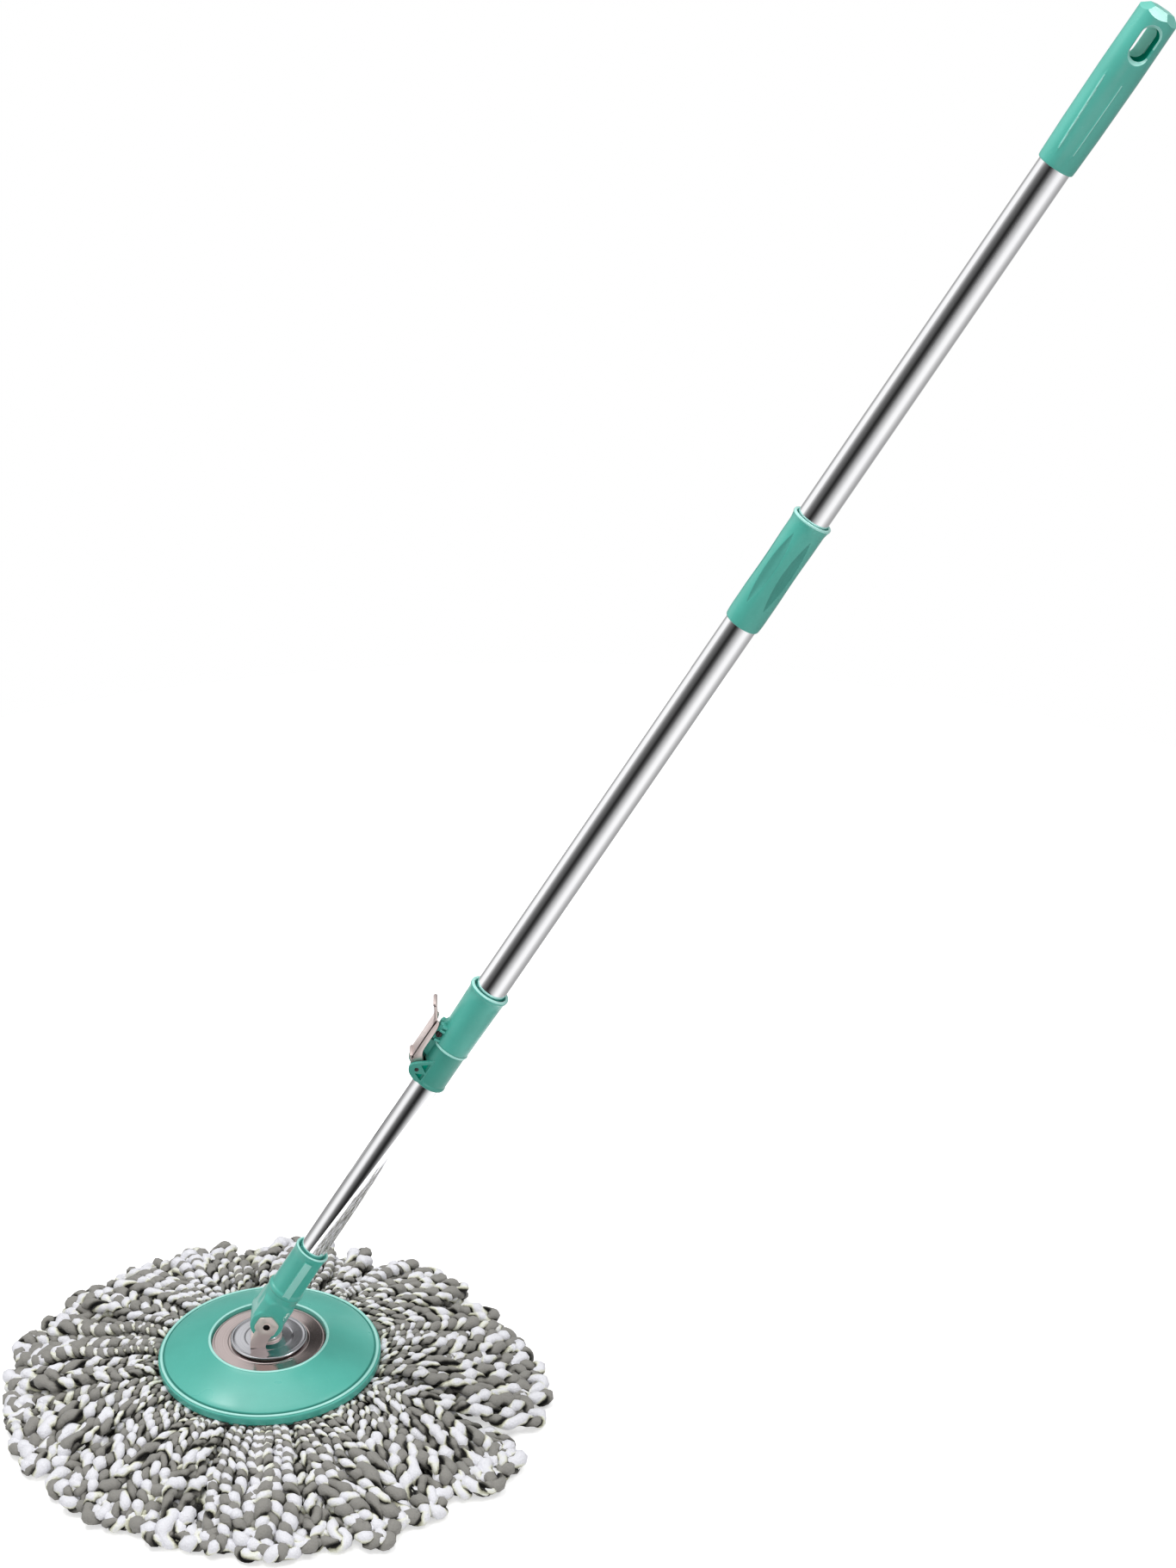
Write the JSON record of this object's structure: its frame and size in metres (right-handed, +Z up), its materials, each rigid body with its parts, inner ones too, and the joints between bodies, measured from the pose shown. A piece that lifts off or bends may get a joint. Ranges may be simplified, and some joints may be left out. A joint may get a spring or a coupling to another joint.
{
  "type": "spin mop",
  "caption": "Hand-press spin mop with a sliding two-part steel handle, flip lock, tilting and turning head, domed disc and a round microfibre fringe.",
  "frame": {"origin": "on the floor under the disc's axis", "axes": "+Z up along the disc's axis; the pole leans 32 degrees from upright towards +X; +Y along the tilt pin"},
  "size_m": [0.7818, 0.38, 1.0059],
  "materials": {
    "teal_plastic": "moulded, softly glossy",
    "polished_steel": "bright polished",
    "plate_steel": "satin sheet",
    "dark_steel": "dark, dull",
    "nylon": "natural nylon",
    "fibre": "looped microfibre cord"
  },
  "bodies": {
    "handle": {"grip": "teal_plastic", "upper_tube": "polished_steel", "tube_joiner": "nylon", "hand_collar": "teal_plastic", "middle_tube": "polished_steel", "lock_body": "teal_plastic", "lock_base": "teal_plastic", "clamp_screw": "dark_steel", "lever_pin": "dark_steel", "drive_rod": "polished_steel", "rod_anchor": "nylon", "anchor_pin": "dark_steel", "rod_stop": "dark_steel"},
    "lever": {"lock_lever": "plate_steel", "lever_cam": "nylon"},
    "carrier": {"guide_bush": "nylon"},
    "clutch": {"clutch_nut": "dark_steel"},
    "lower_pole": {"lower_tube": "polished_steel", "clutch_housing": "nylon", "clutch_cap": "nylon", "joint_socket": "teal_plastic"},
    "head": {"tilt_bracket": "plate_steel", "tilt_pin": "polished_steel", "swivel_plate": "polished_steel", "centre_axle": "polished_steel", "axle_clip": "dark_steel"},
    "disc": {"disc_shell": "teal_plastic", "steel_plate": "plate_steel", "thrust_washer": "nylon", "hub_cap": "teal_plastic", "hub_screws": "dark_steel", "refill_ring": "teal_plastic", "mop_fringe": "fibre"}
  },
  "joints": [
    {"name": "lever_hinge", "type": "hinge", "parent": "handle", "child": "lever", "pos_m": [0.11356, 0, 0.27609], "axis": [0, -1, 0], "range_deg": [0, 110]},
    {"name": "pole_slide", "type": "slide", "parent": "handle", "child": "carrier", "axis": [0.5299, 0, 0.848], "range_m": [0, 0.14]},
    {"name": "clutch_turn", "type": "hinge", "parent": "carrier", "child": "clutch", "pos_m": [0, 0, 0.067], "axis": [0.5299, 0, 0.848], "range_deg": [0, 721]},
    {"name": "pole_turn", "type": "hinge", "parent": "carrier", "child": "lower_pole", "pos_m": [0, 0, 0.067], "axis": [0.5299, 0, 0.848], "continuous": true},
    {"name": "head_tilt", "type": "hinge", "parent": "lower_pole", "child": "head", "pos_m": [0, 0, 0.067], "axis": [0, 1, 0], "range_deg": [-53, 117]},
    {"name": "disc_turn", "type": "hinge", "parent": "head", "child": "disc", "pos_m": [0, 0, 0.045], "axis": [0, 0, 1], "continuous": true}
  ],
  "couplings": [
    {"joint": "clutch_turn", "follows": "pole_slide", "rad_per_m": 89.76}
  ]
}
